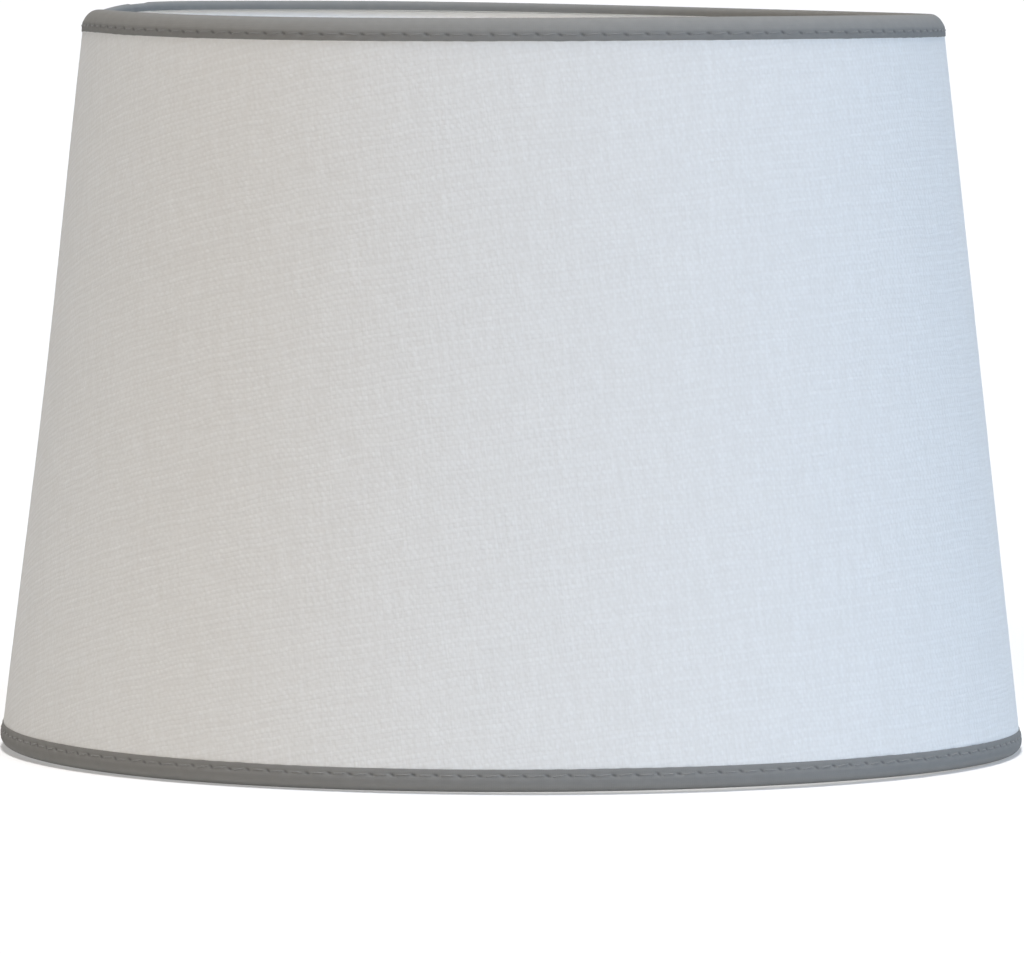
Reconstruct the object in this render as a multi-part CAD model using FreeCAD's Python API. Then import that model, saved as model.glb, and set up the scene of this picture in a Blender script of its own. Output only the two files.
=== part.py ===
import FreeCAD, Part
import math
import os

# A small round tapered lamp shade that stands on its wide rim, +Z up, millimetres.
# The wall is linen glued to a stiff styrene liner.  A wire ring inside each rim keeps it
# round, and a sewn tape is folded over each rim and its ring.  Three wire arms rise from
# the bottom ring to a steel fitter ring, and a plastic reducer ring lies in that one.

# Overall sizes
bottom_diameter = 200.0       # outside of the linen, carried down to the floor plane
top_diameter = 168.0          # outside of the linen, carried up to the top plane
height = 144.0                # over both folded tapes

# Wall, from outside to inside
linen_thickness = 0.5
glue_line = 0.15
liner_thickness = 0.4
liner_butt_gap = 0.3          # between the ends of the rolled liner

# Upright seam at the back, where the linen's free edge is turned over the butted liner
seam_angle = 154.0            # degrees round from +X
seam_lap = 10.0
seam_fold = 1.5               # part of the lap that dips to the linen below
seam_tape_thickness = 0.1
seam_tape_clearance = 0.05
seam_trim = 0.3               # the lap is cut this short of each tape

# Wire rings
ring_wire = 1.6
wire_clearance = 0.12         # between a ring and the liner or the tape

# Edge tapes
tape_thickness = 0.3
tape_clearance = 0.12
tape_shoulder = 1.65          # outer radius where the face turns over the rim
tape_inner_leg = 0.6          # how far it goes past the ring's middle on the inside

# Stitching of the tapes
stitch_pitch = 4.2
stitch_length = 3.0
stitch_past_ring = 1.08       # the row runs this far beyond the wire ring
stitch_margin = 1.2           # from the row to the tape's edge
stitch_lean = 8.0             # degrees
thread_diameter = 0.3
thread_clearance = 0.15
stitches_on_tape_lap = 2

# Fitter for a threaded lampholder
arm_count = 3
arm_wire = 2.2
arm_weld_clearance = 0.05
arm_bend = 18.0               # radius
arm_level_run = 10.0          # from the flattened tip to the middle of the bend
arm_tip_thickness = 1.3
arm_tip_width = 4.4
arm_tip_inset = 2.5           # from the hole's edge to the arm's flattened tip
arm_tip_overhang = 2.0        # flattened length outside the fitter ring
fitter_height = 31.0          # floor plane to the underside of the fitter ring
fitter_hole = 42.0
fitter_width = 8.0            # from the hole to the outside
fitter_thickness = 1.2
fitter_lip = 1.8

# Reducer ring
reducer_hole = 29.0
reducer_clearance = 0.3       # radial, in the fitter's hole
reducer_seat_gap = 0.1
reducer_overlap = 4.0         # flange beyond the edge of the fitter's hole
reducer_flange_thickness = 1.6
reducer_hub_below = 3.0       # under the fitter ring
finger_notch_radius = 3.0
finger_notch_count = 3

# Worked out from the sizes above
axis = FreeCAD.Vector(0, 0, 1)
centre = FreeCAD.Vector(0, 0, 0)
lean = math.atan((bottom_diameter - top_diameter) / 2 / height)
wall = linen_thickness + glue_line + liner_thickness
film = seam_tape_thickness + 2 * seam_tape_clearance
tape_skin = tape_clearance + tape_thickness
stitch_inset = tape_thickness + wire_clearance + ring_wire + stitch_past_ring
tape_face = stitch_inset + stitch_margin
sheet_low = tape_shoulder     # the wall is cut where the tape starts to turn over it
sheet_high = height - sheet_low
fitter_top = fitter_height + fitter_thickness
fitter_radius = fitter_hole / 2 + fitter_width


def radius_at(z, depth=0.0):
    """Radius at height z of the cone that lies depth inside the linen's face."""
    outside = (bottom_diameter + (top_diameter - bottom_diameter) * z / height) / 2
    return outside - depth / math.cos(lean)


def arc_degrees(length, radius):
    return math.degrees(length / radius)


def outline(corners):
    """Closed wire in the XZ plane through (x, z, radius) corners, each one rounded."""
    points = [FreeCAD.Vector(x, 0, z) for x, z, _ in corners]
    ends = []
    for i, (x, z, radius) in enumerate(corners):
        here = points[i]
        if radius == 0:
            ends.append((here, None, here))
            continue
        back = (points[i - 1] - here).normalize()
        ahead = (points[(i + 1) % len(points)] - here).normalize()
        half = back.getAngle(ahead) / 2
        reach = radius / math.tan(half)
        inward = (back + ahead).normalize()
        middle = here + inward * (radius / math.sin(half) - radius)
        ends.append((here + back * reach, middle, here + ahead * reach))
    edges = []
    for i, (first, middle, last) in enumerate(ends):
        if middle is not None:
            edges.append(Part.Arc(first, middle, last).toShape())
        following = ends[(i + 1) % len(ends)][0]
        edges.append(Part.LineSegment(last, following).toShape())
    return Part.Wire(edges)


def turned(corners, start=0.0, sweep=360.0):
    """Solid of revolution about Z from an outline, between two angles."""
    solid = Part.Face(outline(corners)).revolve(centre, axis, sweep)
    solid.rotate(centre, axis, start)
    return solid


def shell(outer_depth, inner_depth, low, high, start=0.0, sweep=360.0):
    """Part of the conical wall between two depths under the linen's face."""
    corners = [
        (radius_at(low, outer_depth), low, 0),
        (radius_at(high, outer_depth), high, 0),
        (radius_at(high, inner_depth), high, 0),
        (radius_at(low, inner_depth), low, 0),
    ]
    return turned(corners, start, sweep)


def ring_place(side):
    """Radius and height of a wire ring's centre line; side is 1 at the top, -1 below."""
    drop = tape_thickness + wire_clearance + ring_wire / 2
    z = height - drop if side > 0 else drop
    return radius_at(z, wall + wire_clearance + ring_wire / 2), z


def lap_degrees():
    return arc_degrees(seam_lap, radius_at(height / 2))


# ---- the wall ----


def linen_cover():
    lap = lap_degrees()
    fold = lap * seam_fold / seam_lap
    low = tape_face + seam_trim
    high = height - low
    outer = -(film + linen_thickness)
    body = shell(0, linen_thickness, sheet_low, sheet_high)
    dip = shell(outer, linen_thickness / 2, low, high, seam_angle, fold)
    flap = shell(outer, -film, low, high, seam_angle + fold, lap - fold)
    return body.fuse([dip, flap]).removeSplitter()


def seam_tape():
    lap = lap_degrees()
    fold = lap * seam_fold / seam_lap
    low = tape_face + 2 * seam_trim
    outer = -(seam_tape_clearance + seam_tape_thickness)
    slack = arc_degrees(seam_tape_clearance, radius_at(height / 2))
    start = seam_angle + fold + slack
    return shell(outer, -seam_tape_clearance, low, height - low, start, lap - fold - slack)


def styrene_liner():
    gap = arc_degrees(liner_butt_gap, radius_at(height / 2))
    start = seam_angle + lap_degrees() / 2
    return shell(linen_thickness + glue_line, wall, sheet_low, sheet_high, start, 360 - gap)


# ---- rims ----


def wire_ring(side):
    ring, z = ring_place(side)
    return Part.makeTorus(ring, ring_wire / 2, FreeCAD.Vector(0, 0, z), axis)


def tape_lap_degrees(side):
    return stitches_on_tape_lap * 360.0 / stitch_count(side)


def edge_tape(side):
    """Tape folded over one rim: outer face, round shoulder, flat rim, inner leg."""
    rim = height if side > 0 else 0.0
    ring, ring_z = ring_place(side)
    raw_edge = rim - side * tape_face
    inner_end = ring_z - side * tape_inner_leg
    inside = ring_wire / 2 + wire_clearance
    fold = rim - side * tape_thickness
    corners = [
        (radius_at(raw_edge, -tape_skin), raw_edge, 0),
        (radius_at(rim, -tape_skin), rim, tape_shoulder),
        (ring - inside - tape_thickness, rim, inside + tape_thickness),
        (ring - inside - tape_thickness, inner_end, 0),
        (ring - inside, inner_end, 0),
        (ring - inside, fold, inside),
        (radius_at(fold, -tape_clearance), fold, tape_shoulder - tape_thickness),
        (radius_at(raw_edge, -tape_clearance), raw_edge, 0),
    ]
    tape = turned(corners)
    # The tape's end is turned under and laps its start, on the outer face only
    low, high = sorted((raw_edge + side * seam_trim, rim - side * tape_shoulder))
    outer = -(tape_skin + tape_thickness)
    inner = -(tape_skin - tape_thickness / 2)
    lap = shell(outer, inner, low, high, seam_angle, tape_lap_degrees(side))
    return tape.fuse(lap).removeSplitter()


def stitch_height(side):
    return height - stitch_inset if side > 0 else stitch_inset


def stitch_count(side):
    return round(2 * math.pi * radius_at(stitch_height(side), -tape_skin) / stitch_pitch)


def stitches(side, depth, lift):
    """A row of thread ends seen between the needle holes, each lying along the rim."""
    z = stitch_height(side)
    count = stitch_count(side)
    row = []
    for i in range(count):
        on_lap = i < stitches_on_tape_lap
        radius = radius_at(z, depth) + (lift if on_lap else 0.0)
        angle = math.radians(seam_angle + (i + 0.5) * 360.0 / count)
        outward = FreeCAD.Vector(math.cos(angle), math.sin(angle), 0)
        along = FreeCAD.Vector(-math.sin(angle), math.cos(angle), 0)
        up = FreeCAD.Vector(0, 0, 1)
        tilt = math.radians(stitch_lean)
        run = along * math.cos(tilt) + up * math.sin(tilt)
        start = outward * radius + up * z - run * (stitch_length / 2)
        row.append(Part.makeCylinder(thread_diameter / 2, stitch_length, start, run))
    return Part.makeCompound(row)


def needle_thread(side):
    depth = -(tape_skin + thread_clearance + thread_diameter / 2)
    return stitches(side, depth, tape_thickness)


def bobbin_thread(side):
    depth = wall + thread_clearance + thread_diameter / 2
    return stitches(side, depth, 0.0)


# ---- fitter ----


def arm_axis():
    """Corner points of an arm's centre line at angle 0: ring, bend, inner end."""
    ring, ring_z = ring_place(-1)
    level = fitter_height - arm_weld_clearance - arm_wire / 2
    end = fitter_radius + arm_tip_overhang / 2
    bend = end + arm_level_run
    return [
        FreeCAD.Vector(ring, 0, ring_z),
        FreeCAD.Vector(bend, 0, level),
        FreeCAD.Vector(end, 0, level),
    ]


def arm_angle(number):
    """Arms are spread evenly, with the seam midway between two of them."""
    return seam_angle + (number + 0.5) * 360.0 / arm_count


def round_arm():
    first, corner, last = arm_axis()
    back = (first - corner).normalize()
    ahead = (last - corner).normalize()
    half = back.getAngle(ahead) / 2
    reach = arm_bend / math.tan(half)
    middle = corner + (back + ahead).normalize() * (arm_bend / math.sin(half) - arm_bend)
    start_arc = corner + back * reach
    end_arc = corner + ahead * reach
    path = Part.Wire(
        [
            Part.LineSegment(first, start_arc).toShape(),
            Part.Arc(start_arc, middle, end_arc).toShape(),
            Part.LineSegment(end_arc, last).toShape(),
        ]
    )
    section = Part.Wire(Part.makeCircle(arm_wire / 2, first, -back))
    return path.makePipeShell([section], True, False)


def arm(number):
    """One arm: wire fitted to the bottom ring, its inner end flattened for the weld."""
    wire = round_arm()
    ring, ring_z = ring_place(-1)
    saddle = ring_wire / 2 + arm_weld_clearance
    wire = wire.cut(Part.makeTorus(ring, saddle, FreeCAD.Vector(0, 0, ring_z), axis))
    tip = fitter_hole / 2 + arm_tip_inset
    length = fitter_radius + arm_tip_overhang - tip
    corner = FreeCAD.Vector(tip, -arm_tip_width / 2, fitter_height - arm_tip_thickness)
    pad = Part.makeBox(length, arm_tip_width, arm_tip_thickness, corner)
    upright = [e for e in pad.Edges if abs(e.tangentAt(e.FirstParameter).z) > 0.99]
    pad = pad.makeFillet(arm_tip_width * 0.4, upright)
    whole = wire.fuse(pad).removeSplitter()
    whole.rotate(centre, axis, arm_angle(number))
    return whole


def arm_notches():
    """Room in the bottom tape where each arm leaves the ring."""
    first, corner, _ = arm_axis()
    room = arm_wire / 2 + tape_clearance
    length = 2 * (ring_wire + tape_skin)
    cuts = []
    for number in range(arm_count):
        hole = Part.makeCylinder(room, length, first, corner - first)
        hole.rotate(centre, axis, arm_angle(number))
        cuts.append(hole)
    return cuts


def bottom_binding():
    return edge_tape(-1).cut(arm_notches()).removeSplitter()


def fitter_ring():
    inner = fitter_hole / 2
    outer = fitter_radius
    lip_top = fitter_top + fitter_lip
    corners = [
        (inner, fitter_height, 0),
        (outer, fitter_height, fitter_thickness * 1.25),
        (outer, lip_top, fitter_thickness * 0.3),
        (outer - fitter_thickness, lip_top, fitter_thickness * 0.3),
        (outer - fitter_thickness, fitter_top, fitter_thickness * 0.25),
        (inner, fitter_top, 0),
    ]
    return turned(corners)


def reducer_ring():
    """Stepped plastic ring: flange on the fitter ring, hub down through its hole."""
    hole = reducer_hole / 2
    hub = fitter_hole / 2 - reducer_clearance
    flange = fitter_hole / 2 + reducer_overlap
    seat = fitter_top + reducer_seat_gap
    top = seat + reducer_flange_thickness
    foot = fitter_height - reducer_hub_below
    soften = reducer_flange_thickness * 0.25
    corners = [
        (hole, foot, 0),
        (hub, foot, soften),
        (hub, seat, 0),
        (flange, seat, 0),
        (flange, top, soften),
        (hole, top, 0),
    ]
    ring = turned(corners)
    for number in range(finger_notch_count):
        place = FreeCAD.Vector(flange, 0, seat - reducer_flange_thickness)
        notch = Part.makeCylinder(finger_notch_radius, 3 * reducer_flange_thickness, place)
        notch.rotate(centre, axis, arm_angle(number) + 180.0 / finger_notch_count)
        ring = ring.cut(notch)
    return ring


parts = {
    "linen_cover": linen_cover(),
    "seam_tape": seam_tape(),
    "styrene_liner": styrene_liner(),
    "top_ring": wire_ring(1),
    "bottom_ring": wire_ring(-1),
    "top_binding": edge_tape(1),
    "bottom_binding": bottom_binding(),
    "top_needle_thread": needle_thread(1),
    "top_bobbin_thread": bobbin_thread(1),
    "bottom_needle_thread": needle_thread(-1),
    "bottom_bobbin_thread": bobbin_thread(-1),
    "fitter_ring": fitter_ring(),
    "reducer_ring": reducer_ring(),
}
for number in range(arm_count):
    parts["arm_%d" % (number + 1)] = arm(number)

os.makedirs("parts", exist_ok=True)
for name, shape in parts.items():
    shape.exportStep("parts/%s.step" % name)
    box = shape.BoundBox
    print(
        "%-22s solids %3d valid %s volume %9.2f mm3  r %.2f  z %.2f to %.2f"
        % (name, len(shape.Solids), shape.isValid(), shape.Volume, box.XMax, box.ZMin, box.ZMax)
    )
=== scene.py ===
import math
import random

import bpy
import numpy as np
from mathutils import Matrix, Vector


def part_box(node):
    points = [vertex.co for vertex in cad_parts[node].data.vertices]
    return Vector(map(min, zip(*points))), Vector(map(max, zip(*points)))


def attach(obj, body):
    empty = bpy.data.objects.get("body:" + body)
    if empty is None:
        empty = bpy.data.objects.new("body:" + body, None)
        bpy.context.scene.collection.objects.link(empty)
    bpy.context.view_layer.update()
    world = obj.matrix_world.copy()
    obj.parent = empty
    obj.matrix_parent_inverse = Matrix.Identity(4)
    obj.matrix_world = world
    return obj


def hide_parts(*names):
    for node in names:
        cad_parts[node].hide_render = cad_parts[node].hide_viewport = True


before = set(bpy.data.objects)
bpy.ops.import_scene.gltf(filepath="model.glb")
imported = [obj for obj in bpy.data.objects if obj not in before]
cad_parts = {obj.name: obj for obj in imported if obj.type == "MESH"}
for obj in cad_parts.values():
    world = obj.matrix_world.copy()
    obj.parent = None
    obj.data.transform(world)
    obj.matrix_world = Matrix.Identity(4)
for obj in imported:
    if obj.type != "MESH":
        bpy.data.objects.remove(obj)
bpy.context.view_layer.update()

mm = 0.001
print("lamp shade: frame loaded")


# The cone that the wall lies on, read from the frame
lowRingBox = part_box("bottom_ring")
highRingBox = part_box("top_ring")
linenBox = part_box("linen_cover")
ringWire = lowRingBox[1].z - lowRingBox[0].z
lowRing = (lowRingBox[1].x - ringWire / 2, lowRingBox[0].z + ringWire / 2)   # radius, height
highRing = (highRingBox[1].x - ringWire / 2, highRingBox[0].z + ringWire / 2)
taper = (lowRing[0] - highRing[0]) / (highRing[1] - lowRing[1])   # radius lost per metre of height
lean = math.atan(taper)
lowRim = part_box("bottom_binding")[0].z
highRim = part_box("top_binding")[1].z

wall = {
    "linen": 0.5 * mm,
    "glueLine": 0.15 * mm,
    "liner": 0.4 * mm,
    "seamAngle": 154.0,        # degrees from +X, where the linen laps itself
    "seamLap": 10.0 * mm,
    "seamFold": 1.5 * mm,      # the lap climbs over the layer below in this length
    "seamFilm": 0.2 * mm,      # room for the double-sided tape under the lap
    "film": 0.1 * mm,
    "filmFace": 0.15 * mm,     # the film's outer face stands this far out from the linen's
    "linerGap": 0.3 * mm,
    "linenEnd": 2.9 * mm,      # the sheets stop this far from each rim, under the tape
    "linerEnd": 2.05 * mm,
    "filmEnd": 5.9 * mm,
    "columns": 360,
    "rows": 36,
}


def wallRadius(height, depth=0.0):
    # Depth is measured into the shade from the linen's face
    return linenBox[1].x - taper * (height - linenBox[0].z) - depth / math.cos(lean)


lapAngle = math.degrees(wall["seamLap"] / wallRadius((lowRim + highRim) / 2))
foldAngle = lapAngle * wall["seamFold"] / wall["seamLap"]


# Small tools for meshes
def freshStart():
    if bpy.context.object and bpy.context.object.mode != "OBJECT":
        bpy.ops.object.mode_set(mode="OBJECT")
    bpy.ops.object.select_all(action="DESELECT")


def takePoints(piece):
    points = np.empty(len(piece.data.vertices) * 3)
    piece.data.vertices.foreach_get("co", points)
    return points.reshape(-1, 3)


def putPoints(piece, points):
    piece.data.vertices.foreach_set("co", points.astype(np.float32).ravel())
    piece.data.update()


def addModifier(piece, kind, **settings):
    bpy.context.view_layer.objects.active = piece
    modifier = piece.modifiers.new(kind.title(), kind)
    for key, value in settings.items():
        setattr(modifier, key, value)
    bpy.ops.object.modifier_apply(modifier=modifier.name)


# A hand-made frame is never quite true: it leans a little and its rims twist
sag = {
    "tilt": 0.5 * mm,          # the +X side is this much lower
    "twist": 0.5 * mm,         # two low and two high places round each rim
    "oval": 0.3 * mm,          # the top is wider front to back
    "lowShare": 0.85,          # how much of the lean and twist is left where the shade stands
    "waist": 0.55 * mm,        # the wall is drawn in this much halfway up, on its -X side
    # Where the top rim is pushed down: degrees round from the front, degrees wide, how far
    "dips": ((-96, 13, 1.1 * mm), (-142, 26, 0.25 * mm)),
}


def settle(piece):
    points = takePoints(piece)
    angle = np.arctan2(points[:, 1], points[:, 0])
    around = angle + math.pi / 2           # 0 faces the front, positive to the right
    radius = np.hypot(points[:, 0], points[:, 1])
    rise = np.clip((points[:, 2] - lowRim) / (highRim - lowRim), 0, 1)
    strength = sag["lowShare"] + (1 - sag["lowShare"]) * rise
    radius = radius + sag["oval"] * rise * np.cos(2 * around)
    radius = radius - sag["waist"] * (1 - np.sin(around)) / 2 * np.sin(math.pi * rise) ** 2
    points[:, 0], points[:, 1] = radius * np.cos(angle), radius * np.sin(angle)
    for place, wide, deep in sag["dips"]:
        away = np.mod(around - math.radians(place) + math.pi, 2 * math.pi) - math.pi
        points[:, 2] -= deep * rise ** 3 * np.exp(-(away / math.radians(wide)) ** 2)
    points[:, 2] += strength * (sag["twist"] * np.sin(2 * around) - sag["tilt"] * np.sin(around))
    putPoints(piece, points)


def handOver(piece, body, nodes, finish, smoothAngle=40):
    freshStart()
    piece.select_set(True)
    bpy.context.view_layer.objects.active = piece
    bpy.ops.object.transform_apply(location=True, rotation=True, scale=True)
    bpy.ops.object.shade_smooth_by_angle(angle=math.radians(smoothAngle))
    piece.data.materials.clear()
    piece.data.materials.append(finish)
    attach(piece, body)
    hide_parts(*nodes)
    print("  made", piece.name, len(piece.data.polygons), "faces")


# Materials
def linear(hexColour):
    # sRGB hex to the linear values that a shader takes
    channels = [int(hexColour[i:i + 2], 16) / 255 for i in (0, 2, 4)]
    return [c / 12.92 if c <= 0.04045 else ((c + 0.055) / 1.055) ** 2.4 for c in channels] + [1.0]


def addNode(tree, kind, settings, **inputs):
    # An input is given by its socket's name, or as a, b or c for sockets 0, 1 and 2
    node = tree.nodes.new(kind)
    for key, value in settings.items():
        setattr(node, key, value)
    for key, value in inputs.items():
        place = "abc".index(key) if len(key) == 1 else key.replace("_", " ")
        socket = node.inputs[place]
        if isinstance(value, bpy.types.Node):
            tree.links.new(value.outputs[0], socket)
        elif isinstance(value, bpy.types.NodeSocket):
            tree.links.new(value, socket)
        else:
            socket.default_value = value
    return node


def newMaterial(name):
    material = bpy.data.materials.new(name)
    material.use_nodes = True
    tree = material.node_tree
    return material, tree, tree.nodes["Principled BSDF"]


def mathNode(tree, operation, *values):
    return addNode(tree, "ShaderNodeMath", {"operation": operation}, **dict(zip("abc", values)))


def plainWeave(tree, along, across, cloth):
    # Height of a plain weave: the upper of two sets of round threads that pass over and under
    warp = mathNode(tree, "COSINE", mathNode(tree, "MULTIPLY", along, math.pi / cloth["warp"]))
    weft = mathNode(tree, "COSINE", mathNode(tree, "MULTIPLY", across, math.pi / cloth["weft"]))
    heights = []
    for own, other, side, rise in ((warp, weft, 1, cloth["warpRise"]), (weft, warp, -1, 1.0)):
        neighbour = mathNode(tree, "MULTIPLY", own, cloth["pairing"])
        crown = mathNode(tree, "MULTIPLY_ADD", mathNode(tree, "ABSOLUTE", own), rise, neighbour)
        wave = mathNode(tree, "MULTIPLY", mathNode(tree, "SIGN", own), other)
        heights.append(mathNode(tree, "MULTIPLY_ADD", wave, side * cloth["crimp"], crown))
    upper = mathNode(tree, "MAXIMUM", *heights)
    proud = mathNode(tree, "MULTIPLY", mathNode(tree, "MULTIPLY", warp, weft), -cloth["weftProud"])
    return mathNode(tree, "ADD", upper, proud)


def whiteLinen():
    # Bleached linen in plain weave: matt, the weft prouder than the warp, every thread uneven
    linen = {
        "warp": 0.61 * mm,         # thread pitches
        "weft": 0.92 * mm,
        "warpRise": 0.25,          # a warp crown's height beside a weft crown's
        "crimp": 0.5,
        "pairing": 0.25,           # every other thread sits higher, as the reed leaves them
        "weftProud": 0.12,
        "grain": 8.0,              # degrees that the weft climbs to the right at the front
        "wander": 1.6 * mm,        # slow drift of the grid
        "wanderRun": 9 * mm,
        "wobble": 0.5,             # each thread's own drift, as a share of its pitch
        "wobbleRun": 8 * mm,
    }
    material, tree, shader = newMaterial("whiteLinen")
    flat = addNode(tree, "ShaderNodeUVMap", {"uv_map": "weave"})
    turned = addNode(tree, "ShaderNodeMapping", {}, Vector=flat,
                     Rotation=(0, 0, -math.radians(linen["grain"])))

    def unevenness(width, height, strength, detail=2.0):
        # Noise about 0 in patches of this size
        patch = addNode(tree, "ShaderNodeMapping", {}, Vector=turned,
                        Scale=(1 / width, 1 / height, 1.0))
        noise = addNode(tree, "ShaderNodeTexNoise", {}, Vector=patch,
                        Scale=1.0, Detail=detail, Roughness=0.6)
        return mathNode(tree, "MULTIPLY", mathNode(tree, "SUBTRACT", noise, 0.5), strength)

    split = addNode(tree, "ShaderNodeSeparateXYZ", {}, a=turned)
    drift = addNode(tree, "ShaderNodeTexNoise", {}, Vector=turned,
                    Scale=1 / linen["wanderRun"], Detail=2.0)
    drifts = addNode(tree, "ShaderNodeSeparateColor", {}, a=drift.outputs["Color"])
    wobbles = (
        unevenness(1.6 * linen["warp"], linen["wobbleRun"], linen["wobble"] * linen["warp"]),
        unevenness(linen["wobbleRun"], 1.6 * linen["weft"], linen["wobble"] * linen["weft"]),
    )
    places = []
    for axis, wobble in enumerate(wobbles):
        centred = mathNode(tree, "SUBTRACT", drifts.outputs[axis], 0.5)
        shift = mathNode(tree, "MULTIPLY", centred, linen["wander"])
        place = mathNode(tree, "ADD", split.outputs[axis], shift)
        places.append(mathNode(tree, "ADD", place, wobble))
    woven = plainWeave(tree, *places, linen)
    # Some places are pressed flatter than others
    firmness = mathNode(tree, "ADD", unevenness(4 * mm, 4 * mm, 1.1, 1.0), 0.66)
    height = mathNode(tree, "MULTIPLY", woven, firmness)
    # Thick crossings, slubs along the warp, slubs along the weft, groups of thick warp threads
    for lump in (
            unevenness(1.6 * linen["warp"], 1.6 * linen["weft"], 2.2, 1.0),
            unevenness(0.9 * mm, 9 * mm, 2.6),
            unevenness(10 * mm, 0.95 * mm, 1.7),
            unevenness(3 * mm, 14 * mm, 1.1)):
        height = mathNode(tree, "ADD", height, lump)
    bump = addNode(tree, "ShaderNodeBump", {}, Height=height, Strength=0.46, Distance=0.05 * mm)
    # The colour follows the height: the darker colour between the threads is painted shade, and the lumps
    # give the threads' own uneven tone
    gapShadeAndSlubs = addNode(tree, "ShaderNodeMapRange", {}, Value=height, From_Min=-0.2, From_Max=1.8)
    colour = addNode(tree, "ShaderNodeMix", {"data_type": "RGBA"}, Factor=gapShadeAndSlubs)
    colour.inputs[6].default_value = linear("D1D1CE")      # painted shade down between the threads, and the low places of uneven threads
    colour.inputs[7].default_value = linear("D8D9D7")      # thread crowns
    tree.links.new(colour.outputs[2], shader.inputs["Base Color"])
    tree.links.new(bump.outputs[0], shader.inputs["Normal"])
    shader.inputs["Roughness"].default_value = 0.9
    shader.inputs["Specular IOR Level"].default_value = 0.25
    return material


def greyTape():
    # Folded cotton tape, dyed mid grey: a close, flat weave that looks smooth and matt
    cotton = {
        "warp": 0.42 * mm,         # thread pitches
        "weft": 0.36 * mm,
        "warpRise": 1.0,
        "crimp": 0.4,
        "pairing": 0.0,            # an even cloth: no thread stands out
        "weftProud": 0.0,
    }
    material, tree, shader = newMaterial("greyCottonTape")
    weave = addNode(tree, "ShaderNodeUVMap", {"uv_map": "weave"})
    split = addNode(tree, "ShaderNodeSeparateXYZ", {}, a=weave)
    threads = plainWeave(tree, split.outputs[0], split.outputs[1], cotton)
    uneven = addNode(tree, "ShaderNodeTexNoise", {}, Vector=weave, Scale=1 / (2.2 * mm), Detail=4.0)
    height = mathNode(tree, "MULTIPLY_ADD", uneven, 1.2, threads)
    bump = addNode(tree, "ShaderNodeBump", {}, Height=height, Strength=0.35, Distance=0.03 * mm)
    hole = addNode(tree, "ShaderNodeAttribute", {"attribute_name": "needleHoleShade"})
    tone = addNode(tree, "ShaderNodeMix", {"data_type": "RGBA"}, Factor=uneven.outputs[0])
    tone.inputs[6].default_value = linear("747471")
    tone.inputs[7].default_value = linear("7E7E7B")
    # Painted shade: a darker grey goes into the needle holes, as much as the needleHoleShade mask says
    holeShadeMix = addNode(tree, "ShaderNodeMix", {"data_type": "RGBA"}, Factor=hole.outputs["Fac"])
    tree.links.new(tone.outputs[2], holeShadeMix.inputs[6])
    holeShadeMix.inputs[7].default_value = linear("5C5C5A")      # painted shade inside the needle holes
    tree.links.new(holeShadeMix.outputs[2], shader.inputs["Base Color"])
    tree.links.new(bump.outputs[0], shader.inputs["Normal"])
    shader.inputs["Roughness"].default_value = 0.88
    shader.inputs["Specular IOR Level"].default_value = 0.25
    return material


def sewingThread(name, colours):
    # Polyester sewing thread, two plies: slightly glossier than cotton
    material, tree, shader = newMaterial(name)
    place = addNode(tree, "ShaderNodeTexCoord", {})
    fibres = addNode(tree, "ShaderNodeTexNoise", {}, Vector=place.outputs["Object"], Scale=1 / (0.5 * mm))
    tone = addNode(tree, "ShaderNodeMix", {"data_type": "RGBA"}, Factor=fibres.outputs[0])
    tone.inputs[6].default_value = linear(colours[0])
    tone.inputs[7].default_value = linear(colours[1])
    tree.links.new(tone.outputs[2], shader.inputs["Base Color"])
    shader.inputs["Roughness"].default_value = 0.6
    shader.inputs["Sheen Weight"].default_value = 0.1
    return material


def whiteStyrene():
    # Calendered polystyrene sheet: white, satin, with a faint ripple left by the glue behind it
    material, tree, shader = newMaterial("whiteStyrene")
    place = addNode(tree, "ShaderNodeTexCoord", {})
    ripple = addNode(tree, "ShaderNodeTexNoise", {}, Vector=place.outputs["Object"], Scale=1 / (14 * mm),
                     Detail=3.0)
    tone = addNode(tree, "ShaderNodeMix", {"data_type": "RGBA"}, Factor=ripple.outputs[0])
    tone.inputs[6].default_value = linear("E4E3E0")
    tone.inputs[7].default_value = linear("EBEAE8")
    bump = addNode(tree, "ShaderNodeBump", {}, Height=ripple.outputs[0], Strength=0.3, Distance=0.2 * mm)
    tree.links.new(tone.outputs[2], shader.inputs["Base Color"])
    tree.links.new(bump.outputs[0], shader.inputs["Normal"])
    shader.inputs["Roughness"].default_value = 0.48
    shader.inputs["IOR"].default_value = 1.59
    return material


def clearFilm():
    # Double-sided tape film at the seam: thin, yellowish and slightly shiny at its edge
    material, tree, shader = newMaterial("seamFilm")
    place = addNode(tree, "ShaderNodeTexCoord", {})
    smear = addNode(tree, "ShaderNodeTexNoise", {}, Vector=place.outputs["Object"], Scale=1 / (3 * mm))
    tone = addNode(tree, "ShaderNodeMix", {"data_type": "RGBA"}, Factor=smear.outputs[0])
    tone.inputs[6].default_value = linear("D9D4C4")
    tone.inputs[7].default_value = linear("E6E2D6")
    tree.links.new(tone.outputs[2], shader.inputs["Base Color"])
    shader.inputs["Roughness"].default_value = 0.35
    return material


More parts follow.
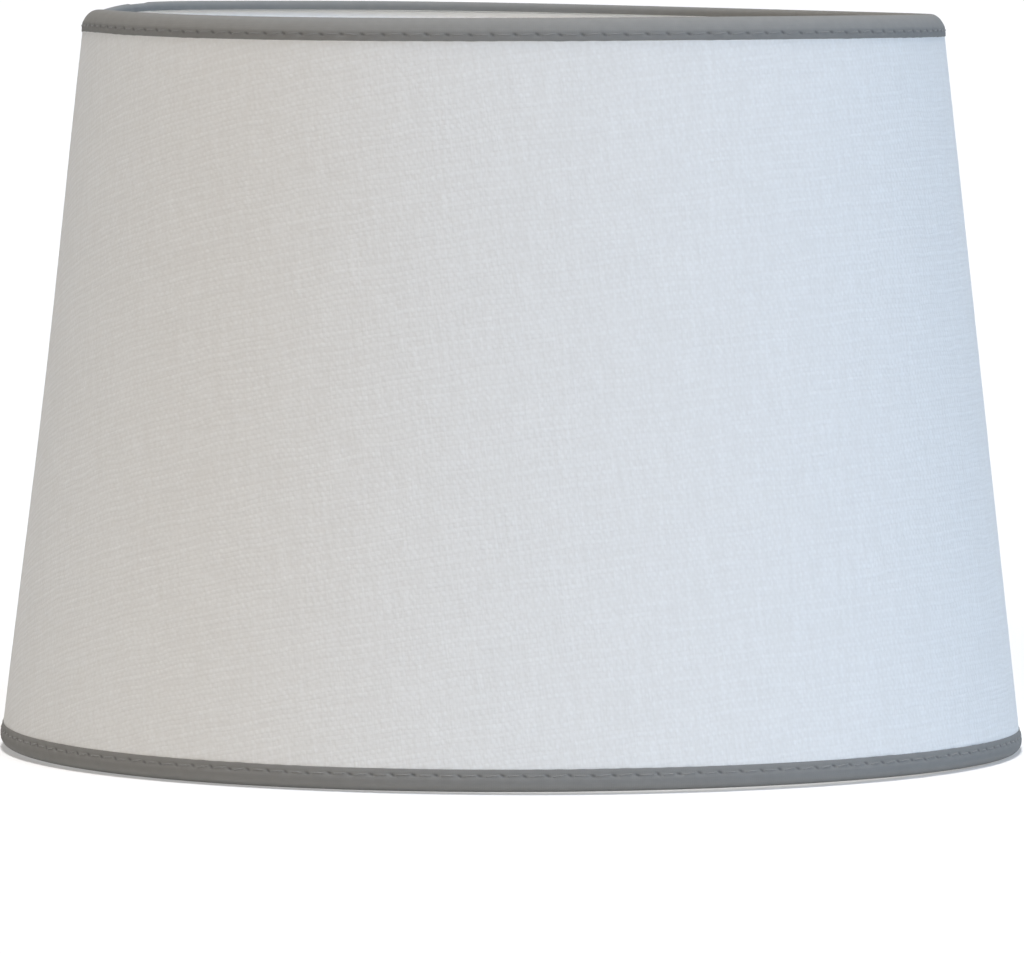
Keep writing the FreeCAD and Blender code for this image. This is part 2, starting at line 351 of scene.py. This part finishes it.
def pebbledWhite(name, colour, roughness, pebble):
    # Powder coat or moulded plastic: even white with a fine orange-peel skin, its pebbles in mm
    material, tree, shader = newMaterial(name)
    place = addNode(tree, "ShaderNodeTexCoord", {})
    peel = addNode(tree, "ShaderNodeTexNoise", {}, Vector=place.outputs["Object"], Scale=1 / (pebble * mm),
                   Detail=2.0)
    tone = addNode(tree, "ShaderNodeMix", {"data_type": "RGBA"}, Factor=peel.outputs[0])
    tone.inputs[6].default_value = linear(colour[0])
    tone.inputs[7].default_value = linear(colour[1])
    bump = addNode(tree, "ShaderNodeBump", {}, Height=peel.outputs[0], Strength=0.25, Distance=0.04 * mm)
    tree.links.new(tone.outputs[2], shader.inputs["Base Color"])
    tree.links.new(bump.outputs[0], shader.inputs["Normal"])
    shader.inputs["Roughness"].default_value = roughness
    shader.inputs["Coat Weight"].default_value = 0.2
    shader.inputs["Coat Roughness"].default_value = 0.25
    return material


linenFinish = whiteLinen()
tapeFinish = greyTape()
needleFinish = sewingThread("greyPolyesterThread", ("666664", "757572"))
bobbinFinish = sewingThread("whitePolyesterThread", ("DEDDDA", "ECEBE8"))
styreneFinish = whiteStyrene()
filmFinish = clearFilm()
wireFinish = pebbledWhite("powderCoatedWire", ("C4C4C1", "CDCDCA"), 0.38, 0.9)
plateFinish = pebbledWhite("powderCoatedPlate", ("C6C6C3", "CFCFCC"), 0.36, 1.1)
reducerFinish = pebbledWhite("mouldedPolypropylene", ("CECDC8", "D6D5D1"), 0.42, 0.6)
print("lamp shade: materials ready")


# The wall: sheets cut flat and rolled into a cone
tapePress = {
    "hem": 4.3 * mm,           # the tapes reach this far from each rim
    "depth": 0.38 * mm,        # and press the linen in this deep
    "edge": 0.1 * mm,          # the press starts this far inside the tape's edge
    "ramp": 0.4 * mm,          # and is full after this much more
    "lapFade": 1.3 * mm,       # the lap is pressed flat over this length beside them
    "lapLeft": 0.03,           # share of the lap's lift that stays under them
    "rowOffsets": (-0.9 * mm, -0.5 * mm, -0.1 * mm, 0.35 * mm, 1.3 * mm),     # close rows round the edge
}


def rollSheet(name, start, end, low, high, depth, thickness, lapped=False):
    # A flat grid is wrapped round the cone; its flat pattern is kept in metres as the map "weave"
    freshStart()
    rows = wall["rows"]
    columns = max(4, round(wall["columns"] * (end - start) / 360))
    bpy.ops.mesh.primitive_grid_add(x_subdivisions=columns, y_subdivisions=rows, size=1)
    sheet = bpy.context.object
    sheet.name = sheet.data.name = name
    flat = takePoints(sheet)
    degrees = start + (flat[:, 0] + 0.5) * (end - start)
    step = np.round((flat[:, 1] + 0.5) * rows)
    height = low + step / rows * (high - low)
    lift = press = 0.0
    if lapped:
        # Rows lie close together at the tapes, which press the cloth and its lap
        hem = tapePress["hem"]
        near = np.array([low - lowRim] + [hem + offset for offset in tapePress["rowOffsets"]])
        closeRows = np.arange(len(near))
        height = np.interp(step, np.r_[closeRows, rows - closeRows[::-1]],
                           np.r_[lowRim + near, highRim - near[::-1]])
        fromRim = np.minimum(height - lowRim, highRim - height)
        pressed = np.clip((hem - tapePress["edge"] - fromRim) / tapePress["ramp"], 0, 1)
        press = tapePress["depth"] * pressed
        climb = np.clip((degrees - wall["seamAngle"] - 360) / foldAngle, 0, 1)
        lift = (wall["linen"] + wall["seamFilm"]) * climb * climb * (3 - 2 * climb)
        lift = lift * np.clip((fromRim - hem) / tapePress["lapFade"], tapePress["lapLeft"], 1)
    radius = wallRadius(height, depth) + lift - press
    angle = np.radians(degrees)
    putPoints(sheet, np.stack([radius * np.cos(angle), radius * np.sin(angle), height], 1))
    slant = wallRadius(height) / math.sin(lean)
    opened = np.radians(degrees - 270) * math.sin(lean)              # angle in the flat pattern
    pattern = np.stack([slant * np.sin(opened), slant.mean() - slant * np.cos(opened)], 1)
    corners = np.empty(len(sheet.data.loops), dtype=np.int32)
    sheet.data.loops.foreach_get("vertex_index", corners)
    sheet.data.uv_layers[0].name = "weave"
    sheet.data.uv_layers[0].data.foreach_set("uv", pattern[corners].astype(np.float32).ravel())
    addModifier(sheet, "SOLIDIFY", thickness=thickness, offset=-1, use_even_offset=True)
    return sheet


linerDepth = wall["linen"] + wall["glueLine"]
linerGapAngle = math.degrees(wall["linerGap"] / wallRadius((lowRim + highRim) / 2))
linerSeam = wall["seamAngle"] + lapAngle / 2

linenCover = rollSheet("linenCover", wall["seamAngle"] + foldAngle, wall["seamAngle"] + 360 + lapAngle,
                       lowRim + wall["linenEnd"], highRim - wall["linenEnd"], 0, wall["linen"],
                       lapped=True)
settle(linenCover)
handOver(linenCover, "shade", ["linen_cover"], linenFinish)

styreneLiner = rollSheet("styreneLiner", linerSeam + linerGapAngle, linerSeam + 360,
                         lowRim + wall["linerEnd"], highRim - wall["linerEnd"], linerDepth, wall["liner"])
settle(styreneLiner)
handOver(styreneLiner, "shade", ["styrene_liner"], styreneFinish)

seamTape = rollSheet("seamTape", wall["seamAngle"] + foldAngle, wall["seamAngle"] + lapAngle,
                     lowRim + wall["filmEnd"], highRim - wall["filmEnd"], -wall["filmFace"], wall["film"])
settle(seamTape)
handOver(seamTape, "shade", ["seam_tape"], filmFinish)

print("lamp shade: wall rolled")


# Tapes and rings: outlines turned about the axis, ring by ring
def turnRings(name, outline, segments):
    # One ring of points is drawn out from place to place of the outline and closed on itself
    freshStart()
    radius, height = outline[0]
    bpy.ops.mesh.primitive_circle_add(vertices=segments, radius=radius, location=(0, 0, height))
    piece = bpy.context.object
    piece.name = piece.data.name = name
    bpy.ops.object.transform_apply(location=True, rotation=True, scale=True)
    bpy.ops.object.mode_set(mode="EDIT")
    bpy.ops.mesh.select_all(action="SELECT")
    for nextRadius, nextHeight in outline[1:] + outline[:1]:
        growth = nextRadius / radius
        bpy.ops.mesh.extrude_edges_move(TRANSFORM_OT_translate={"value": (0, 0, nextHeight - height)})
        bpy.ops.transform.resize(value=(growth, growth, 1), center_override=(0, 0, 0))
        radius, height = nextRadius, nextHeight
    bpy.ops.mesh.select_all(action="SELECT")
    bpy.ops.mesh.remove_doubles(threshold=1e-6)
    bpy.ops.mesh.normals_make_consistent(inside=False)
    bpy.ops.object.mode_set(mode="OBJECT")
    return piece


tape = {
    "thickness": 0.3 * mm,
    "clearance": 0.03 * mm,
    "innerLeg": 0.6 * mm,          # past the ring's middle
    "width": 4.3 * mm,             # rim to the folded edge on the linen
    # How far in and how high it rounds over: at the top rim (1) and the bottom rim (-1)
    "shoulder": {1: (2.6 * mm, 3.8 * mm), -1: (1.9 * mm, 2.2 * mm)},
    "rowFromRim": 3.1 * mm,        # line of stitches
    "edgeProud": -0.2 * mm,        # the folded edge is pressed thinner than the rest
    "pitch": 4.2 * mm,             # from one needle hole to the next
    "stepsPerStitch": 12,
    # Rings of points lie close together at the row: their offsets from it, as shares of rowSpan
    "rowSpan": 0.78 * mm,
    "rowSpread": (1.0, 0.85, 0.7, 0.55, 0.4, 0.27, 0.14, 0, -0.14, -0.27, -0.4, -0.55, -0.75, -1.0),
    "grooveDepth": 0.08 * mm,
    "grooveWidth": 0.5 * mm,
    "holeDepth": 0.13 * mm,
    "holeLength": 0.56 * mm,
    "holeWidth": 0.25 * mm,
    "holeSlant": -24.0,            # degrees, down to the right
    "holeStray": (0.12 * mm, 0.05 * mm, 7.0),     # spread along the row, up from it and in degrees
    "holeForce": (0.6, 1.25),      # shallowest and deepest hole, as shares of the depth
    "pucker": 0.05 * mm,           # the tape swells between holes
    "swellRun": 0.8 * mm,          # on the rim's side of the row
    "edgeWave": 0.1 * mm,          # unevenness of the folded edge
    "lapStitches": 2,              # the tape's end laps its start this many stitches
    "lapRise": 0.6,                # share of the thickness left after pressing
    "lapRamp": 0.4,                # of a stitch, over which the lap rises
}


def stitchCount(side):
    height = highRim - tape["rowFromRim"] if side > 0 else lowRim + tape["rowFromRim"]
    skin = tape["thickness"] + tape["clearance"]
    return round(2 * math.pi * wallRadius(height, -skin) / tape["pitch"])


def pulledIn(side, fromRim):
    # How far the tape has turned in over the rim
    inward, high = tape["shoulder"][side]
    return inward * (1 - math.sqrt(1 - max(0, 1 - fromRim / high) ** 2))


def tapeOutline(side):
    # Radius and height from the folded edge up the face, over the ring, down its leg and back inside
    rim = highRim if side > 0 else lowRim
    ringRadius, ringHeight = highRing if side > 0 else lowRing
    thick = tape["thickness"]
    skin = thick + tape["clearance"]
    inward, high = tape["shoulder"][side]
    roll = abs(rim - ringHeight)
    apex = wallRadius(rim, -skin) - inward
    inner = ringRadius - roll

    def face(fromRim, outward):
        height = rim - side * fromRim
        return wallRadius(height, -outward), height

    def over(turn, inside):
        outAlong = (apex - inner - inside) * math.cos(turn)
        return apex + outAlong, ringHeight + side * (roll - inside) * math.sin(turn)

    halfEdge = (skin + tape["edgeProud"] - tape["clearance"]) / 2
    outline = []
    for turn in np.radians(np.arange(-80, 81, 20)):         # the folded edge is a half round
        outline.append(face(tape["width"] - halfEdge * (1 - math.cos(turn)),
                            tape["clearance"] + halfEdge * (1 + math.sin(turn))))
    underCount = len(outline) // 2 + 1                      # points that face the linen
    for offset in tape["rowSpread"]:
        fromRim = tape["rowFromRim"] + offset * tape["rowSpan"]
        share = min(1, max(0, (fromRim - tape["rowFromRim"]) / (tape["width"] - tape["rowFromRim"])))
        outline.append(face(fromRim, skin + tape["edgeProud"] * share ** 0.7 - pulledIn(side, fromRim)))
    faceCount = len(outline)
    start = math.asin(max(0, 1 - fromRim / high))
    for turn in np.linspace(start, math.pi / 2, 15)[1:]:
        outline.append(face(high * (1 - math.sin(turn)), skin - inward * (1 - math.cos(turn))))
    for turn in np.linspace(math.pi / 2, math.pi, 12)[1:]:
        outline.append(over(turn, 0))
    legEnd = ringHeight - side * tape["innerLeg"]
    legMiddle = (ringHeight + legEnd) / 2
    corner, cornerHeight = 0.03 * mm, legEnd + side * 0.05 * mm
    outline += [(inner, legMiddle), (inner + corner, cornerHeight), (inner + thick / 2, legEnd)]
    skinCount = len(outline)
    outline += [(inner + thick - corner, cornerHeight), (inner + thick, legMiddle)]
    for turn in np.linspace(math.pi, math.pi / 2, 9):
        outline.append(over(turn, thick))
    for turn in np.linspace(math.pi / 2, 0, 10)[1:]:
        outline.append(face(thick + (high - thick) * (1 - math.sin(turn)),
                            skin - thick - (inward - thick) * (1 - math.cos(turn))))
    outline.append(face(tape["width"] - 0.3 * mm, skin - thick))
    return [tuple(map(float, place)) for place in outline], underCount, faceCount, skinCount


def makeTape(name, side, seed):
    outline, underCount, faceCount, skinCount = tapeOutline(side)
    count = stitchCount(side)
    piece = turnRings(name, outline, count * tape["stepsPerStitch"])
    points = takePoints(piece)
    rim = highRim if side > 0 else lowRim
    angle = np.arctan2(points[:, 1], points[:, 0])
    radius = np.hypot(points[:, 0], points[:, 1])
    fromRim = side * (rim - points[:, 2])
    outlineArray = np.array(outline)
    nearest = np.empty(len(points), dtype=np.int64)         # each point's place in the outline
    batch = 20000
    for start in range(0, len(points), batch):
        part = slice(start, start + batch)
        outBy = radius[part, None] - outlineArray[None, :, 0]
        upBy = points[part, 2, None] - outlineArray[None, :, 1]
        nearest[part] = (outBy ** 2 + upBy ** 2).argmin(1)
    onFace = (nearest >= underCount) & (nearest < faceCount)
    onSkin = nearest < skinCount

    # Where each point lies among the stitches: along the row in metres, and up from it
    seam = math.radians(wall["seamAngle"])
    turn = np.mod(angle - seam, 2 * math.pi)
    stitch = turn / (2 * math.pi) * count
    toHole = (stitch - np.round(stitch)) * 2 * math.pi * radius / count
    toRow = points[:, 2] - (rim - side * tape["rowFromRim"])
    rng = np.random.default_rng(seed)
    strayAlong, strayUp, strayTurn = tape["holeStray"]
    holeUp = rng.normal(0, strayUp, count + 1)
    holeAlong = rng.normal(0, strayAlong, count + 1)
    holeDeep = rng.uniform(*tape["holeForce"], count + 1)
    holeTurn = rng.normal(0, strayTurn, count + 1)
    for values in (holeUp, holeAlong, holeDeep, holeTurn):
        values[count] = values[0]              # the row ends at the hole it starts from
    index = np.round(stitch).astype(int)
    slant = np.radians(tape["holeSlant"] + holeTurn[index])
    du, dv = toHole - holeAlong[index], toRow - holeUp[index]
    along = du * np.cos(slant) + dv * np.sin(slant)
    across = -du * np.sin(slant) + dv * np.cos(slant)
    hole = np.exp(-(along / tape["holeLength"]) ** 2 - (across / tape["holeWidth"]) ** 2)
    groove = np.exp(-(toRow / tape["grooveWidth"]) ** 2)
    between = 0.5 - 0.5 * np.cos(2 * math.pi * stitch)         # 0 at a hole, 1 midway
    waves = sum(rng.normal(0, 1) / (1 + k / 9) * np.sin(k * angle + rng.uniform(0, 6.28))
                for k in range(5, 70, 3))
    waves = waves / np.abs(waves).max()
    band = np.clip((fromRim - tape["rowFromRim"]) / (tape["width"] - tape["rowFromRim"]), 0, 1)
    push = -tape["grooveDepth"] * groove * (0.75 + 0.25 * (1 - between))
    push = push - tape["holeDepth"] * holeDeep[index] * hole
    swell = np.exp(-((fromRim - tape["rowFromRim"] + tape["swellRun"]) / tape["swellRun"]) ** 2)
    push = push + tape["pucker"] * between * swell
    push = push + tape["pucker"] * (between + waves) * band
    ripple = tape["edgeWave"] * (0.7 * waves + 0.6 * (between - 0.5))
    points[:, 2] += np.where(onFace, band ** 2 * ripple, 0)
    newRadius = radius + np.where(onFace, push, 0)

    # The tape's end is turned under and laps its start, over the whole skin
    lapTurn = 2 * math.pi * tape["lapStitches"] / count
    rampTurn = 2 * math.pi / count * tape["lapRamp"]
    step = np.clip(np.minimum((turn + rampTurn) / rampTurn, (lapTurn - turn) / rampTurn), 0, 1)
    step = np.maximum(step, np.clip((turn - 2 * math.pi + rampTurn) / rampTurn, 0, 1))
    nextPlace = np.roll(outlineArray, -1, axis=0) - np.roll(outlineArray, 1, axis=0)
    outlineNormal = np.stack([nextPlace[:, 1], -nextPlace[:, 0]], 1) * -side
    outlineNormal /= np.linalg.norm(outlineNormal, axis=1)[:, None]
    lapRaise = np.where(onSkin, tape["thickness"] * tape["lapRise"] * step, 0)
    newRadius = newRadius + lapRaise * outlineNormal[nearest, 0]
    points[:, 2] += lapRaise * outlineNormal[nearest, 1]
    points[:, 0], points[:, 1] = newRadius * np.cos(angle), newRadius * np.sin(angle)
    putPoints(piece, points)

    # Weave map: along the rim and across the tape, in metres; painted shade for the holes
    lengths = np.r_[0, np.cumsum(np.linalg.norm(np.diff(outlineArray, axis=0), axis=1))]
    meanRadius = outlineArray[:, 0].mean()
    vertexMap = np.stack([turn * meanRadius, lengths[nearest]], 1)
    corners = np.empty(len(piece.data.loops), dtype=np.int32)
    piece.data.loops.foreach_get("vertex_index", corners)
    loops = vertexMap[corners].reshape(-1, 4, 2)
    wrapped = np.ptp(loops[:, :, 0], axis=1) > math.pi * meanRadius
    low = loops[:, :, 0] < math.pi * meanRadius
    loops[:, :, 0] += np.where(wrapped[:, None] & low, 2 * math.pi * meanRadius, 0)
    layer = piece.data.uv_layers.new(name="weave")
    layer.data.foreach_set("uv", loops.astype(np.float32).ravel())
    shade = piece.data.attributes.new("needleHoleShade", "FLOAT", "POINT")
    # Painted shade: how much darker grey each needle hole gets
    paintedHoleShade = np.where(onFace, np.clip(hole * 1.3 - 0.15, 0, 1), 0)
    shade.data.foreach_set("value", paintedHoleShade.astype(np.float32))
    return piece


topBinding = makeTape("topBinding", 1, 11)
settle(topBinding)
handOver(topBinding, "shade", ["top_binding"], tapeFinish)
bottomBinding = makeTape("bottomBinding", -1, 23)
settle(bottomBinding)
handOver(bottomBinding, "shade", ["bottom_binding"], tapeFinish)
print("lamp shade: tapes folded on")


def makeRing(name, place):
    radius, height = place
    freshStart()
    bpy.ops.mesh.primitive_torus_add(major_segments=288, minor_segments=20, major_radius=radius,
                                     minor_radius=ringWire / 2, location=(0, 0, height))
    ring = bpy.context.object
    ring.name = ring.data.name = name
    bpy.ops.object.transform_apply(location=True, rotation=True, scale=True)
    return ring


for name, place, node in (("topRing", highRing, "top_ring"), ("bottomRing", lowRing, "bottom_ring")):
    ring = makeRing(name, place)
    settle(ring)
    handOver(ring, "shade", [node], wireFinish)
print("lamp shade: rings in place")


# Stitching
stitchThread = {
    "diameter": 0.26 * mm,
    "visible": 3.2 * mm,           # from hole to hole, less the part that dives
    "sunk": 0.04 * mm,             # the inside row is pulled this far into the liner
    "lean": 4.0,                   # degrees
    "plyDepth": 0.16,              # how deep the groove between the two plies is, as a share
    "plyTwist": 3.2,               # radians over half a stitch
    "dive": 0.34 * mm,             # how far its ends go down into the holes
    "diveFrom": 0.55,              # share of the half length where it starts to dive
    "lengthSpread": 0.03,
    "leanSpread": 3.0,             # degrees
    "heightSpread": 0.04,          # mm
}


def makeStitch():
    # One stitch along X with Z outward: a two-ply thread that comes out of one hole and dives at the next
    freshStart()
    bpy.ops.mesh.primitive_cylinder_add(vertices=6, radius=stitchThread["diameter"] / 2,
                                        depth=stitchThread["visible"], rotation=(0, math.pi / 2, 0))
    stitch = bpy.context.object
    bpy.ops.object.transform_apply(location=True, rotation=True, scale=True)
    bpy.ops.object.mode_set(mode="EDIT")
    bpy.ops.mesh.select_all(action="DESELECT")
    bpy.ops.object.mode_set(mode="OBJECT")
    for edge in stitch.data.edges:
        a, b = (stitch.data.vertices[i].co for i in edge.vertices)
        edge.select = abs(a.x - b.x) > stitchThread["visible"] * 0.9
    bpy.ops.object.mode_set(mode="EDIT")
    bpy.ops.mesh.select_mode(type="EDGE")
    bpy.ops.mesh.subdivide(number_cuts=8)
    bpy.ops.object.mode_set(mode="OBJECT")
    points = takePoints(stitch)
    along = points[:, 0] / (stitchThread["visible"] / 2)
    twist = along * stitchThread["plyTwist"]
    facing = np.arctan2(points[:, 2], points[:, 1])
    ply = 1 + stitchThread["plyDepth"] * np.cos(2 * (facing + twist))
    z = points[:, 2] * ply
    end = np.clip((np.abs(along) - stitchThread["diveFrom"]) / (1 - stitchThread["diveFrom"]), 0, 1)
    points[:, 1] = points[:, 1] * ply
    points[:, 2] = z * (1 - 0.25 * end) - stitchThread["dive"] * end ** 2
    putPoints(stitch, points)
    return stitch


def sewRow(name, side, seed, inside):
    count = stitchCount(side)
    rim = highRim if side > 0 else lowRim
    height = rim - side * tape["rowFromRim"]
    skin = tape["thickness"] + tape["clearance"]
    if inside:
        depth = linerDepth + wall["liner"] - stitchThread["sunk"]
    else:
        depth = tape["grooveDepth"] + pulledIn(side, tape["rowFromRim"]) - skin
    model = makeStitch()
    outline = takePoints(model)
    chooser = random.Random(seed)
    row = []
    for i in range(count):
        turn = math.radians(wall["seamAngle"]) + (i + 0.5) * 2 * math.pi / count
        lift = tape["thickness"] * tape["lapRise"] if i < tape["lapStitches"] and not inside else 0.0
        facing = -1 if inside else 1
        leanBy = math.radians(stitchThread["lean"] + chooser.gauss(0, stitchThread["leanSpread"]))
        length = 1 + chooser.gauss(0, stitchThread["lengthSpread"])
        x = outline[:, 0] * length
        along = x * math.cos(leanBy) - outline[:, 1] * math.sin(leanBy)
        stray = chooser.gauss(0, stitchThread["heightSpread"]) * mm
        up = x * math.sin(leanBy) + outline[:, 1] * math.cos(leanBy) + stray
        z = height + up
        radius = wallRadius(z, depth) + lift + facing * outline[:, 2]
        angle = turn + facing * along / wallRadius(height, depth)
        stitch = model.copy()
        stitch.data = model.data.copy()
        bpy.context.scene.collection.objects.link(stitch)
        putPoints(stitch, np.stack([radius * np.cos(angle), radius * np.sin(angle), z], 1))
        row.append(stitch)
    bpy.data.objects.remove(model)
    freshStart()
    for stitch in row:
        stitch.select_set(True)
    bpy.context.view_layer.objects.active = row[0]
    bpy.ops.object.join()
    thread = bpy.context.object
    thread.name = thread.data.name = name
    bpy.ops.object.mode_set(mode="EDIT")
    bpy.ops.mesh.select_all(action="SELECT")
    bpy.ops.mesh.normals_make_consistent(inside=False)
    bpy.ops.object.mode_set(mode="OBJECT")
    return thread


for name, side, seed, inside, node in (
        ("topNeedleThread", 1, 31, False, "top_needle_thread"),
        ("topBobbinThread", 1, 37, True, "top_bobbin_thread"),
        ("bottomNeedleThread", -1, 41, False, "bottom_needle_thread"),
        ("bottomBobbinThread", -1, 43, True, "bottom_bobbin_thread")):
    thread = sewRow(name, side, seed, inside)
    settle(thread)
    slotName, finish = ("lining_thread", bobbinFinish) if inside else ("sewing_thread", needleFinish)
    handOver(thread, "shade", [node], finish, smoothAngle=75)
print("lamp shade: stitched")


# The fitter, arms and reducer keep their meshes from the frame
for node, finish, slotName in (
        ("arm_1", wireFinish, "coated_wire"), ("arm_2", wireFinish, "coated_wire"),
        ("arm_3", wireFinish, "coated_wire"), ("fitter_ring", plateFinish, "coated_steel"),
        ("reducer_ring", reducerFinish, "reducer_plastic")):
    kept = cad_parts[node]
    kept.data.materials.clear()
    kept.data.materials.append(finish)
print("lamp shade: fitter finished")


# Floor, light and camera
studio = {
    "floorRadius": 40.0,
    "floorDrop": 0.4 * mm,         # the twisted rim's lowest places press into it
    "floorColour": "BEBEBE",
    "floorGlow": 0.28,
    "sky": ("303030", 1.0),
    "insideHeight": 100 * mm,      # a weak lamp inside lightens the lining
    "insidePower": 0.06,           # watts
    "insideSize": 10 * mm,
    # Name, degrees to the right of the front, degrees up, spread, RGB
    "lights": (
        ("overhead", 180, 88, 16, (1.22, 1.2, 1.2)),
        ("windowRight", 60, 24, 30, (0.280, 0.408, 0.594)),
        ("lampLeft", -20, 24, 30, (0.318, 0.272, 0.229)),
    ),
}


def layFloor():
    freshStart()
    bpy.ops.mesh.primitive_circle_add(vertices=96, radius=studio["floorRadius"], fill_type="NGON",
                                      location=(0, 0, lowRim - studio["floorDrop"]))
    floor = bpy.context.object
    floor.name = "paleFloor"
    material, tree, shader = newMaterial("paleBoard")      # matt white studio board
    shader.inputs["Base Color"].default_value = linear(studio["floorColour"])
    shader.inputs["Roughness"].default_value = 0.95
    shader.inputs["Specular IOR Level"].default_value = 0.1
    shader.inputs["Emission Color"].default_value = (1, 1, 1, 1)
    shader.inputs["Emission Strength"].default_value = studio["floorGlow"]
    floor.data.materials.append(material)


def hangLights():
    # An even sky, three soft suns and the lamp inside
    world = bpy.data.worlds.new("studio")
    bpy.context.scene.world = world
    world.use_nodes = True
    background = world.node_tree.nodes["Background"]
    background.inputs["Color"].default_value = linear(studio["sky"][0])
    background.inputs["Strength"].default_value = studio["sky"][1]
    for name, right, up, spread, colour in studio["lights"]:
        freshStart()
        tilt, turn = math.radians(90 - up), math.radians(right)
        bpy.ops.object.light_add(type="SUN", location=(0, 0, 3), rotation=(tilt, 0, turn))
        light = bpy.context.object
        light.name = name
        strength = max(colour)
        light.data.color = [c / strength for c in colour]
        light.data.energy = strength * math.pi
        light.data.angle = math.radians(spread)
    freshStart()
    bpy.ops.object.light_add(type="POINT", location=(0, 0, studio["insideHeight"]))
    bpy.context.object.name = "insideFill"
    bpy.context.object.data.energy = studio["insidePower"]
    bpy.context.object.data.shadow_soft_size = studio["insideSize"]


eye = {
    "place": (0.0, -1.969, 0.1794),
    "lens": 354.0,
    "down": 3.683,                 # degrees below level
    "roll": 0.203,
}


def setCamera():
    freshStart()
    bpy.ops.object.camera_add(location=eye["place"])
    camera = bpy.context.object
    camera.rotation_mode = "ZYX"
    camera.rotation_euler = (math.radians(90 - eye["down"]), 0, math.radians(eye["roll"]))
    camera.data.lens = eye["lens"]
    camera.data.sensor_width = 36.0
    camera.data.clip_start, camera.data.clip_end = 0.05, 200.0
    bpy.context.scene.camera = camera


layFloor()
hangLights()
setCamera()
bpy.context.scene.view_settings.view_transform = "Standard"
print("lamp shade: studio set")
